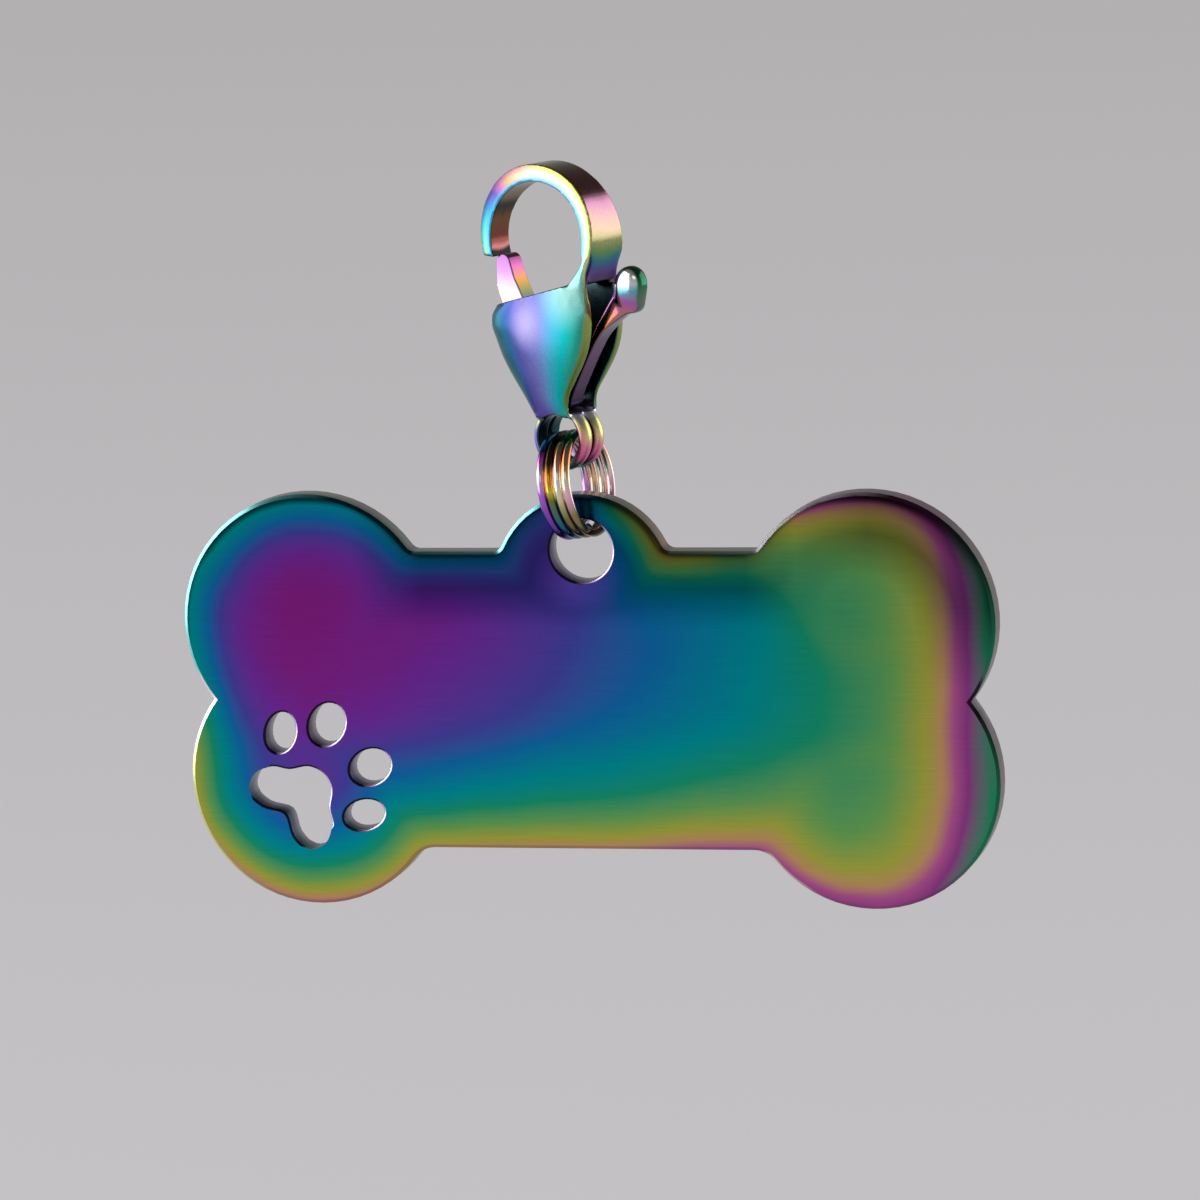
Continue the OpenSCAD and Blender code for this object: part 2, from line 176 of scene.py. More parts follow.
# Keeps what lies before (-1) or behind (1) an upright plane and returns the edges of the cut
def cutAt(work, y, side):
    cut = bmesh.ops.bisect_plane(work, geom=work.verts[:] + work.edges[:] + work.faces[:], dist=1e-5,
                                 plane_co=(0, y, 0), plane_no=(0, side, 0), clear_inner=True)
    return only(cut["geom_cut"], bmesh.types.BMEdge)


# Adds a rod that lies fore and aft
def addRod(work, radius, depth, segments, x=0, z=0):
    place = Matrix.Translation((x, 0, z)) @ Matrix.Rotation(math.pi / 2, 4, "X")
    bmesh.ops.create_cone(work, cap_ends=True, segments=segments, radius1=radius, radius2=radius, depth=depth,
                          matrix=place)


# Rounds the rims at the ends of a rod or a wire, which are its only edges that turn by more than a radian
def softenEnds(work, offset, segments):
    rims = [e for e in work.edges if e.calc_face_angle(0) > 1]
    bmesh.ops.bevel(work, geom=rims, offset=offset, segments=segments, profile=0.5, affect="EDGES", material=-1)


# Puts the normals on the points for the materials, spread over the neighbours as often as asked
def storeNormals(piece, turn, rounds=0):
    mesh = piece.data
    kept = mesh.attributes.new(normalsName, "FLOAT_VECTOR", "POINT")
    flat = turn.to_3x3()
    sums = [Vector() for _ in mesh.vertices]
    for face in mesh.polygons:
        normal = flat @ face.normal
        # Faces of the hidden joint between the two halves don't count
        if abs(normal.y) > 0.9999 and abs((turn @ mesh.vertices[face.vertices[0]].co).y) < 1e-7:
            continue
        for i in face.vertices:
            sums[i] += normal
    for _ in range(rounds):
        spread = [n.copy() for n in sums]
        for a, b in (edge.vertices for edge in mesh.edges):
            spread[a] += sums[b]
            spread[b] += sums[a]
        sums = spread
    kept.data.foreach_set("vector", [c for n in sums for c in n.normalized()])


# Camera: long lens, a little above the tag and to its right
cameraView = {"azimuth": 14.48, "elevation": 9.31, "roll": -2.38, "distance": 333.39,
              "target": (2.120, -1.166, -20.057), "lens": 209.53, "sensor": 36.0}


def makeCamera(settings):
    a, e, r = (math.radians(settings[k]) for k in ("azimuth", "elevation", "roll"))
    back = Vector((math.sin(a) * math.cos(e), -math.cos(a) * math.cos(e), math.sin(e)))
    right = Vector((math.cos(a), math.sin(a), 0))
    up = back.cross(right)
    across = math.cos(r) * right + math.sin(r) * up
    over = -math.sin(r) * right + math.cos(r) * up
    data = bpy.data.cameras.new("camera")
    data.lens, data.sensor_width = settings["lens"], settings["sensor"]
    data.clip_start, data.clip_end = 0.01, 100
    camera = objectFrom("camera", data)
    camera.matrix_world = Matrix((across, over, back)).transposed().to_4x4()
    camera.location = milli * (Vector(settings["target"]) + settings["distance"] * back)
    bpy.context.scene.camera = camera


makeCamera(cameraView)
print("camera made")

# Stage: a pale floor far below the hanging tag, soft cards of light and a dim grey room
stageLook = {"floorZ": -130.0, "floorSize": 14.0, "near": "#D6D4D6", "far": "#CAC8C9", "shade": 0.3}
cards = {
    "cardLeft": {"at": (-0.52, -0.16, 0.12), "size": (0.8, 0.6), "power": 2.1, "aim": (0, 0, -0.01)},
    "cardBack": {"at": (0.46, 0.34, 0.12), "size": (0.42, 0.4), "power": 0.75, "aim": (0, 0, -0.01)},
    "cardEdge": {"at": (-0.55, 0.12, 0.12), "size": (0.3, 0.66), "power": 0.5, "aim": (0, 0, -0.02)},
    "cardFront": {"at": (0.02, -0.75, 0.36), "size": (0.4, 0.2), "power": 0.2, "aim": (0, 0, -0.02)},
}


def seenRays(tree):
    path = tree.nodes.new("ShaderNodeLightPath")
    seen = put(tree, "Math ADD", path.outputs["Is Camera Ray"], path.outputs["Is Glossy Ray"])
    return put(tree, "Math ADD", seen, path.outputs["Is Transmission Ray"], use_clamp=True)


def makeStage(look):
    work = bmesh.new()
    bmesh.ops.create_grid(work, x_segments=2, y_segments=2, size=look["floorSize"] / 2 / milli)
    bmesh.ops.translate(work, verts=work.verts, vec=(0, 0, look["floorZ"]))
    floor = finished("floor", work)
    material, tree = newMaterial("paleFloor")
    place = put(tree, "TexCoord").node.outputs["Object"]
    depth = put(tree, "SeparateXYZ", place).node.outputs[1]
    far = put(tree, "MapRange", depth, 0.1, 1.6, 0.0, 1.0)
    tone = put(tree, "MixRGB", far, linear(look["near"]), linear(look["far"]))
    glow = put(tree, "Emission", tone, 1.0)
    matt = put(tree, "BsdfDiffuse", tone)
    share = put(tree, "Math MULTIPLY", seenRays(tree), 1.0 - look["shade"])
    put(tree, "OutputMaterial", put(tree, "MixShader", share, matt, glow))
    floor.data.materials.append(material)

    world = bpy.data.worlds.new("room")
    bpy.context.scene.world = world
    world.use_nodes = True
    tree = world.node_tree
    tree.nodes.clear()
    height = put(tree, "SeparateXYZ", put(tree, "TexCoord")).node.outputs[2]
    room = put(tree, "ValToRGB", height, stops=[(0.0, "#BCBABB"), (0.2, "#A8A6A8"), (0.6, "#6A696C")])
    put(tree, "OutputWorld", put(tree, "Background", room, 1.0))

    for name, card in cards.items():
        light = bpy.data.lights.new(name, "AREA")
        light.shape = "RECTANGLE"
        light.size, light.size_y = card["size"]
        light.energy = card["power"]
        lamp = objectFrom(name, light)
        lamp.location = card["at"]
        lamp.rotation_mode = "QUATERNION"
        lamp.rotation_quaternion = (Vector(card["at"]) - Vector(card["aim"])).to_track_quat("Z", "Y")


makeStage(stageLook)
bpy.context.scene.view_settings.view_transform = "Standard"
print("stage made")

# Plate
plate = {"at": Vector((1.26307, -1.16567, -24.96290)), "thickness": 1.43, "lobe": (13.76, 3.81, 6.24),
         "waist": 7.24, "lug": (5.65, 4.35), "ringHole": (0, 7.3, 2.0), "weld": 0.03, "dissolve": 0.5,
         "softEdge": 0.11, "softFrom": 40, "softTo": 130, "faceWithin": 0.004, "slanted": 0.05,
         # Each opening of the paw: its middle, how far it reaches, its scale and its shift
         "paw": [((-14.79, -5.10), 2.2, (1.28, 1.27), (-0.08, -0.12)), ((-15.41, -1.62), 1.2, (0.88, 1.14), (0, 0)),
                 ((-13.06, -1.21), 1.2, (0.93, 1.05), (0, 0)), ((-10.97, -3.29), 1.2, (1.03, 0.9), (0, 0)),
                 ((-11.38, -5.65), 1.2, (1.16, 0.85), (0, 0))]}
# Order of the layer's colours as it thickens
layerStops = [(0.0, "#76186E"), (0.12, "#622688"), (0.25, "#3A3A8C"), (0.35, "#0E5A92"), (0.48, "#007A80"),
              (0.58, "#147E5C"), (0.68, "#568A48"), (0.77, "#8A8E35"), (0.83, "#A07C50"), (0.88, "#944678"),
              (0.93, "#763070"), (1.0, "#1E7050")]
# Layer at places along the middle of the plate, and the share of the rest that it gains at both long edges
plateRun = [(-20, 0.0), (-15, 0.02), (-12, 0.06), (-9, 0.12), (-6, 0.18), (-3, 0.24), (0, 0.31), (3, 0.37),
            (7, 0.45), (10, 0.51), (13, 0.585), (15.4, 0.67), (17.2, 0.755), (18.5, 0.835), (19.3, 0.9), (20, 0.97)]
upperGain = [(-20, 0.5), (-14, 0.48), (-8, 0.42), (-4, 0.32), (-1, 0.23), (2, 0.58), (4, 0.7), (6, 0.62), (8, 0.48),
             (12, 0.85), (16, 0.7), (20, 0.35)]
lowerGain = [(-20, 0.8), (-14, 0.81), (-8, 0.76), (0, 0.74), (8, 0.8), (12, 0.8), (16, 0.75), (20, 0.35)]


# Curve through points given in millimetres along the plate
def along(tree, x, points):
    made = put(tree, "FloatCurve", 1.0, put(tree, "MapRange", x, -20.0, 20.0, 0.0, 1.0))
    curve = made.node.mapping.curves[0]
    for place, value in points:
        curve.points.new((place + 20) / 40, value)
    made.node.mapping.update()
    return made


def plateField(tree):
    place = put(tree, "TexCoord").node.outputs["Object"]
    at = put(tree, "Mapping", place, -plate["at"], (0, 0, 0), (perMetre,) * 3)
    split = put(tree, "SeparateXYZ", at).node.outputs
    x, z = split[0], split[2]
    ax, az = put(tree, "Math ABSOLUTE", x), put(tree, "Math ABSOLUTE", z)
    lobeX, lobeZ, lobeR = plate["lobe"]
    dx, dz = put(tree, "Math SUBTRACT", ax, lobeX), put(tree, "Math SUBTRACT", az, lobeZ)
    # Depth inside a rounded box round all four lobes, with the waist let in and the lug put on
    corner = put(tree, "CombineXYZ", put(tree, "Math MAXIMUM", dx, 0.0), put(tree, "Math MAXIMUM", dz, 0.0))
    lugAt = put(tree, "CombineXYZ", x, put(tree, "Math SUBTRACT", z, plate["lug"][0]))
    box, lobe, lug = (
        put(tree, "Math SUBTRACT", r, put(tree, "VectorMath LENGTH", v).node.outputs["Value"])
        for r, v in ((lobeR, corner), (lobeR, put(tree, "CombineXYZ", dx, dz)), (plate["lug"][1], lugAt)))
    bar = put(tree, "Math SUBTRACT", plate["waist"], az)
    inlet = put(tree, "Math SMOOTH_MAX", bar, lobe, 1.2)
    depth = put(tree, "Math SMOOTH_MAX", put(tree, "Math SMOOTH_MIN", box, inlet, 1.0), lug, 1.0)
    return at, x, z, depth


# Painted shade: the face darkens near its edges as if reflecting the dark room above, widest over the waist and the
# right lobe, with a thin painted dark line along the upper rim, and the whole face is painted darker towards the
# top
def faceShade(tree, x, z, depth):
    top = put(tree, "MapRange", z, 0.5, 4.5, 0.0, 1.0)
    rim = put(tree, "ValToRGB", put(tree, "MapRange", depth, 0.0, 4.0, 0.0, 1.0), stops=[
        (0.0, "#181818"), (0.05, "#606060"), (0.12, "#A4A4A4"), (0.24, "#BCC0C4"), (0.45, "#929AAC"),
        (0.64, "#BCC4D4"), (0.95, "#FFFFFF")])
    wide = put(tree, "Math MAXIMUM", put(tree, "MapRange", put(tree, "Math ABSOLUTE", x), 8.0, 11.5, 0.9, 0.0),
               put(tree, "MapRange", x, 9.0, 14.0, 0.0, 0.9))
    dark = put(tree, "MixRGB", put(tree, "Math MULTIPLY", top, wide), white, rim)
    line = put(tree, "MapRange", depth, 0.1, 0.35, 0.2, 1.0)
    upTo = put(tree, "Math MULTIPLY", top, put(tree, "MapRange", x, 16.0, 18.5, 1.0, 0.0))
    dark = multiplied(tree, dark, put(tree, "MixRGB", upTo, white, line))
    return multiplied(tree, dark, put(tree, "MapRange", z, 7.0, -7.0, 0.86, 1.08))


# Painted highlight and shade: soft edges facing left are painted nearly white, those facing right stay dark
def bevelColour(tree, colour, x, z, depth):
    nx, _, nz = put(tree, "SeparateXYZ", ownNormal(tree)).node.outputs
    lit = put(tree, "MapRange", put(tree, "Math MULTIPLY_ADD", nz, 0.3, put(tree, "Math MULTIPLY", nx, -1.0)),
              0.05, 0.45, 0.0, 1.0)
    pale = put(tree, "MixRGB", put(tree, "MapRange", z, -3.0, 1.0, 0.0, 1.0), linear("#E4F0A4"),
               linear("#98F0F0"))
    pale = put(tree, "MixRGB", put(tree, "MapRange", x, 4.0, 10.0, 0.0, 0.8), pale, linear("#FFE8F0"))
    hole = between(tree, depth, 0.5, 0.9)
    pale = put(tree, "MixRGB", hole, pale, linear("#D8B8FF", 2.4))
    # Painted shade: the dark ones lose most of their colour where they face up and in the openings
    shadeShare = put(tree, "Math MAXIMUM", put(tree, "MapRange", nz, -0.3, 0.3, 0.25, 0.85),
                put(tree, "Math MULTIPLY", hole, 0.92))
    return put(tree, "MixRGB", lit, put(tree, "MixRGB", shadeShare, colour, linear("#181416")), pale)


# Sawn walls: brownish grey outside and darker towards the front; inside the openings, painted shade darkens them to
# near black towards the front
def wallColour(tree, colour, at, x, depth):
    y = put(tree, "SeparateXYZ", at).node.outputs[1]
    hole = between(tree, depth, 0.4, 0.8)
    inside = put(tree, "ValToRGB", put(tree, "MapRange", y, 0.1, 1.3, 0.0, 1.0),
                 stops=[(0.0, "#100C10"), (0.4, "#4A423E"), (1.0, "#9A9694")])
    outside = put(tree, "MixRGB", put(tree, "MapRange", x, -12.0, 12.0, 0.0, 1.0), linear("#A09E88"),
                  linear("#6E5256"))
    outside = put(tree, "MixRGB", between(tree, y, 0.9, 0.1), outside, linear("#544648"))
    return put(tree, "MixRGB", 0.85, colour, put(tree, "MixRGB", hole, outside, inside))


def plateMaterial(name, kind):
    material, tree = newMaterial(name)
    at, x, z, depth = plateField(tree)
    # Bands lean to the left on the left half
    lean = put(tree, "MapRange", x, -6.0, 12.0, -0.9, 0.0)
    run = along(tree, put(tree, "Math MULTIPLY_ADD", z, lean, x), plateRun)
    # The layer thickens towards every edge, from furthest off along the foot
    low = between(tree, z, 3.5, -3.5)
    high = put(tree, "MapRange", put(tree, "Math ABSOLUTE", x), 8.0, 12.0, 1.6, 2.2)
    reach = put(tree, "MapRange", low, 0.0, 1.0, high, 3.0)
    near = put(tree, "Math DIVIDE", put(tree, "Math MAXIMUM", depth, 0.0), reach)
    slope = put(tree, "MapRange", x, 6.0, 12.0, 1.6, 1.0)
    near = put(tree, "Math POWER", near, put(tree, "MapRange", low, 0.0, 1.0, slope, 1.15))
    fall = put(tree, "Math EXPONENT", put(tree, "Math MULTIPLY", near, -1.0))
    left = put(tree, "Math SUBTRACT", 1.0, run)
    most = put(tree, "MixRGB", low, along(tree, x, upperGain), along(tree, x, lowerGain))
    gain = put(tree, "Math MULTIPLY", most, put(tree, "Math MULTIPLY", left, fall))
    layer = put(tree, "Math ADD", gain, run)
    layer = put(tree, "Math ADD", layer, wander(tree, at, 0.16, 0.06), use_clamp=True)
    colour = put(tree, "ValToRGB", layer, stops=layerStops, gain=1.8)
    # Fine brushing along the length
    grain = fineNoise(tree, put(tree, "Mapping", at, None, None, (0.35, 1.0, 14.0)), 1.0)
    colour = multiplied(tree, colour, following(tree, grain, 0.93, 1.06))
    if kind == "face":
        colour = multiplied(tree, colour, faceShade(tree, x, z, depth))
        rough = following(tree, grain, 0.16, 0.26)
    elif kind == "bevel":
        colour, rough = bevelColour(tree, colour, x, z, depth), 0.27
    else:
        colour, rough = wallColour(tree, colour, at, x, depth), 0.3
    metalOutput(tree, colour, rough, grain, 0.004)
    return material


def makePlate(settings):
    work = copied(["tag_plate"])
    bmesh.ops.remove_doubles(work, verts=work.verts, dist=settings["weld"])
    bmesh.ops.dissolve_limit(work, angle_limit=math.radians(settings["dissolve"]), verts=work.verts,
                             edges=work.edges)
    for (x, z), far, scale, shift in settings["paw"]:
        middle = settings["at"] + Vector((x, 0, z))
        for v in work.verts:
            if math.hypot(v.co.x - middle.x, v.co.z - middle.z) < far:
                v.co.x = middle.x + shift[0] + (v.co.x - middle.x) * scale[0]
                v.co.z = middle.z + shift[1] + (v.co.z - middle.z) * scale[1]
    # The openings' rims are softened. The outline has a bevel of its own
    bmesh.ops.recalc_face_normals(work, faces=work.faces)
    openings = [(x, z, far) for (x, z), far, _, _ in settings["paw"]] + [settings["ringHole"]]
    edges = []
    for e in work.edges:
        place = (e.verts[0].co + e.verts[1].co) / 2 - settings["at"]
        inside = any(math.hypot(place.x - x, place.z - z) < far for x, z, far in openings)
        bend = math.degrees(e.calc_face_angle(0))
        if inside and e.is_convex and settings["softFrom"] < bend < settings["softTo"]:
            edges.append(e)
    bmesh.ops.bevel(work, geom=edges, offset=settings["softEdge"], offset_type="OFFSET", segments=3,
                    profile=0.5, affect="EDGES", material=-1, clamp_overlap=False)
    # Both flat faces are filled anew, so that they are truly flat
    filled = set()
    for side in (0, settings["thickness"]):
        plane = settings["at"].y + side
        flat = [f for f in work.faces if all(abs(v.co.y - plane) < settings["faceWithin"] for v in f.verts)]
        # The rim is sorted by place, so that each run fills it alike
        rim = [e for e in work.edges if sum(f in flat for f in e.link_faces) == 1]
        rim.sort(key=lambda e: tuple(e.verts[0].co + e.verts[1].co))
        bmesh.ops.delete(work, geom=flat, context="FACES_KEEP_BOUNDARY")
        for v in {v for e in rim for v in e.verts}:
            v.co.y = plane
        made = bmesh.ops.triangle_fill(work, edges=rim, use_beauty=True, use_dissolve=False)
        filled |= set(only(made["geom"], bmesh.types.BMFace))
    bmesh.ops.recalc_face_normals(work, faces=work.faces)
    for face in work.faces:
        face.material_index = 0 if face in filled else 1 if abs(face.normal.y) > settings["slanted"] else 2
    piece = finished("tagPlate", work, sharp=35)
    mesh = piece.data
    mesh.polygons.foreach_set("use_smooth", [f.material_index > 0 for f in mesh.polygons])
    storeNormals(piece, Matrix.Identity(4))
    for name, kind in (("brushedRainbowSteel", "face"), ("polishedEdgePaintedLight", "bevel"), ("cutEdge", "wall")):
        mesh.materials.append(plateMaterial(name, kind))
    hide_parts("tag_plate")
    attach(piece, bodyOf("tag_plate"))


makePlate(plate)
print("plate made")

# Clasp: both halves are welded, rounded as polished castings are, and parted again at the middle
clasp = {"turn": 22.0, "voxel": 0.05, "rounds": 9, "slot": 1.05, "pinGrow": 1.04, "cheekRounds": 120,
         # Faces of the halves' joint, rounds that spread the normals, and the angle of edges that stay sharp
         "jointWithin": 0.002, "spread": 3, "sharp": 50,
         # The hook's middle and bore, and the eye's middle
         "hookZ": -2.87, "bore": 2.87, "eye": (0.7626, -12.27),
         # Where the cheeks begin and how steep that line is, where they end, and how softly
         "shoulder": -5.3, "shoulderSlope": 0.262, "shoulderSoft": 0.3, "foot": -11.6, "footSoft": 0.6,
         # A point of the cheeks doesn't face straight up or down, and lies far out or faces left
         "sideways": 0.25, "outside": 1.2, "leftwards": -0.3,
         # Where the hook's root is, and how far its rounding goes
         "root": (3.0, -4.5), "rootReach": 0.9, "rootFull": 1.3, "rootMost": 0.7,
         # How far the left edge moves at each height, drawn from its photographed outline, how far the right
         # one does, and how far from the middle they do so in full
         "flank": [(-5.2, -0.1), (-6.06, -0.17), (-6.43, -0.21), (-6.73, -0.1), (-7.04, 0.06), (-7.4, 0.03),
                   (-7.9, -0.07), (-8.4, -0.16), (-9.0, -0.17), (-9.6, -0.13), (-10.6, 0.0)],
         "rightFlank": [(-5.6, 0.0), (-6.6, 0.16), (-8.0, 0.24), (-9.6, 0.24), (-10.6, 0.1), (-11.2, 0.0)],
         "flankFull": 1.5,
         "fillet": [(2.95, -3.6), (2.0, -4.85), (2.95, -4.85)], "filletDepth": 1.4,
         # Thickens the left flank where the room for the lever comes through it, at both its corners
         "corner": [(-2.33, -7.6), (-2.21, -8.0), (-1.98, -8.5), (-1.74, -9.0), (-1.47, -9.5), (-1.2, -10.0),
                    (-0.95, -10.4), (-0.4, -10.4), (-0.75, -10.0), (-1.1, -9.5), (-1.4, -9.0), (-1.65, -8.5),
                    (-1.9, -8.0), (-2.05, -7.6)],
         "cornerAt": 0.96, "cornerDepth": 0.16, "cornerSlope": 0.9}
toClasp = Matrix.Rotation(math.radians(clasp["turn"]), 4, "Z")


# Casts a bmesh anew as one skin of even mesh, polished soft at its edges
def rounded(work, voxel, rounds):
    mesh = bpy.data.meshes.new("work")
    work.to_mesh(mesh)
    work.free()
    holder = objectFrom("work", mesh)
    remesh = holder.modifiers.new("cast", "REMESH")
    remesh.mode, remesh.voxel_size = "VOXEL", voxel
    soften = holder.modifiers.new("polish", "SMOOTH")
    soften.factor, soften.iterations = 0.5, rounds
    made = bpy.data.meshes.new_from_object(holder.evaluated_get(bpy.context.evaluated_depsgraph_get()))
    work = bmesh.new()
    work.from_mesh(made)
    bpy.data.objects.remove(holder)
    bpy.data.meshes.remove(mesh)
    bpy.data.meshes.remove(made)
    return work


# Half of the body before or behind the middle, closed along it
def parted(work, side):
    half = work.copy()
    bmesh.ops.triangle_fill(half, edges=cutAt(half, 0, side), use_beauty=False, use_dissolve=False)
    return half


# Share of the extra rounding that a point of the body takes: all on the outer cheeks, none at their rims
def cheekShare(co, normal):
    sideways = max(abs(normal.y), abs(normal.x)) > clasp["sideways"]
    outside = abs(co.y) > clasp["outside"] or normal.x < clasp["leftwards"]
    down = clamped((clasp["shoulder"] - co.z - clasp["shoulderSlope"] * co.x) / clasp["shoulderSoft"])
    foot = clamped((co.z - clasp["foot"]) / clasp["footSoft"])
    cheek = down * foot if sideways and outside else 0.0
    # The root of the hook runs into the cheek without a step
    far = math.hypot(co.x - clasp["root"][0], co.z - clasp["root"][1])
    root = max(clasp["rootFull"] - far / clasp["rootReach"], 0)
    return max(cheek, min(root, clasp["rootMost"]))


# The same for the lever: its knob alone, whichever way a point faces
def knobShare(co, _):
    x, z = lever["knobFrom"]
    softX, softZ = lever["knobSoft"]
    return clamped((co.x - x) / softX) * clamped((co.z - z) / softZ)


def roundMore(work, share, rounds):
    work.normal_update()
    shares = [(v, share(v.co, v.normal)) for v in work.verts]
    chosen = [(v, s, [e.other_vert(v) for e in v.link_edges]) for v, s in shares if s > 0.02]
    for _ in range(rounds):
        moved = [v.co.lerp(sum((o.co for o in near), Vector()) / len(near), 0.5 * s) for v, s, near in chosen]
        for (v, _, _), co in zip(chosen, moved):
            v.co = co


# Solid of an outline drawn in x and z, as deep before the middle as behind it
def extruded(outline, depth):
    work = bmesh.new()
    face = work.faces.new([work.verts.new((x, -depth, z)) for x, z in outline])
    grown = bmesh.ops.extrude_face_region(work, geom=[face])["geom"]
    bmesh.ops.translate(work, verts=only(grown, bmesh.types.BMVert), vec=(0, 2 * depth, 0))
    bmesh.ops.recalc_face_normals(work, faces=work.faces)
    return work


# Moves all of one bmesh into another
def joined(work, other):
    held = bpy.data.meshes.new("held")
    other.to_mesh(held)
    other.free()
    work.from_mesh(held)
    bpy.data.meshes.remove(held)


# Value at a height, from a table that runs downwards
def tabled(pairs, at):
    for (a, va), (b, vb) in zip(pairs, pairs[1:]):
        if b <= at <= a:
            return va + (vb - va) * (at - a) / (b - a)
    return 0.0


def makeClasp(settings):
    work = copied(["clasp_front_shell", "clasp_back_shell"], toClasp)
    inner = [f for f in work.faces if max(abs(v.co.y) for v in f.verts) < settings["jointWithin"]]
    bmesh.ops.delete(work, geom=inner, context="FACES")
    for side in (-1, 1):
        plug = copied(["pivot_pin"], toClasp)
        middle = sum((v.co for v in plug.verts), Vector()) / len(plug.verts)
        for v in plug.verts:
            v.co.x = middle.x + (v.co.x - middle.x) * settings["pinGrow"]
            v.co.z = middle.z + (v.co.z - middle.z) * settings["pinGrow"]
        bmesh.ops.holes_fill(plug, edges=cutAt(plug, side * settings["slot"], side))
        joined(work, plug)
        corner = extruded(settings["corner"], settings["cornerDepth"])
        for v in corner.verts:
            v.co.x += settings["cornerSlope"] * side * v.co.y
            v.co.y += side * settings["cornerAt"]
        joined(work, corner)
    joined(work, extruded(settings["fillet"], settings["filletDepth"]))
    work = rounded(work, settings["voxel"], settings["rounds"])
    for v in work.verts:
        v.co.x += tabled(settings["flank"], v.co.z) * clamped(-v.co.x / settings["flankFull"])
        v.co.x += tabled(settings["rightFlank"], v.co.z) * clamped(v.co.x / settings["flankFull"])
    roundMore(work, cheekShare, settings["cheekRounds"])
    look = claspMaterial("rainbowPolishedSteel")
    for name, side in (("clasp_front_shell", -1), ("clasp_back_shell", 1)):
        half = parted(work, side)
        piece = finished("claspFront" if side < 0 else "claspBack", half, toClasp.inverted(),
                         settings["sharp"])
        storeNormals(piece, toClasp, settings["spread"])
        piece.data.materials.append(look)
        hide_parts(name)
        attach(piece, bodyOf(name))
    work.free()


# Place and normal in the clasp's own frame, in which it faces straight forward
def claspFrame(tree):
    place = put(tree, "TexCoord").node.outputs["Object"]
    at = put(tree, "Mapping", place, (0, 0, 0), (0, 0, math.radians(clasp["turn"])), (perMetre,) * 3)
    return at, ownNormal(tree)


# Colours round the hook as shares of the turn from below its root, over the top, to its tip. The near-white stops
# of the front face are partly painted highlight, and the dark brown and olive stops of the outer side over the top
# are painted reflection of the dark room above
hookFace = [(0.0, "#98D8D0"), (0.1, "#B8D8CC"), (0.3, "#D0D0C4"), (0.56, "#D8D8D0"), (0.61, "#D8C8A8"),
            (0.66, "#D0A868"), (0.7, "#C070A8"), (0.74, "#6A5CAC"), (0.79, "#4484C4"), (0.87, "#54C4C8"),
            (0.965, "#8CD0B8"), (0.985, "#303830")]
hookSide = [(0.0, "#201828"), (0.06, "#5A3A80"), (0.085, "#4A5898"), (0.11, "#2E8090"), (0.14, "#6A9860"),
            (0.17, "#A8A870"), (0.21, "#C8AC90"), (0.26, "#CCA0A0"), (0.3, "#C488A8"), (0.34, "#6A4048"),
            (0.42, "#683A2C"), (0.52, "#565A1E"), (0.62, "#583048"), (0.76, "#3A3A78"), (1.0, "#408070")]
hookBore = [(0.0, "#78B8B0"), (0.3, "#3E4A24"), (0.55, "#40363A"), (0.72, "#6A5A34"), (0.84, "#7A5438"),
            (0.93, "#7E4038"), (0.95, "#A86868"), (0.965, "#201C18")]
# Colours across a cheek, from its left edge to its right one
cheekRun = [(0.0, "#1E6A78"), (0.09, "#2A6494"), (0.2, "#4A5CA8"), (0.34, "#6A66B8"), (0.5, "#7A80C8"),
            (0.62, "#6C9CD4"), (0.74, "#44B4D0"), (0.87, "#10C0C4"), (1.0, "#30B4A0")]


# Share of a soft round spot about a point of the clasp
def spot(tree, x, z, centre, size):
    offset = put(tree, "CombineXYZ", put(tree, "Math SUBTRACT", x, centre[0]), put(
        tree, "Math SUBTRACT", z, centre[1]))
    far = put(tree, "VectorMath LENGTH", put(tree, "VectorMath DIVIDE", offset, (size[0], size[1], 1.0)))
    return between(tree, far.node.outputs["Value"], 1.0, 0.0)


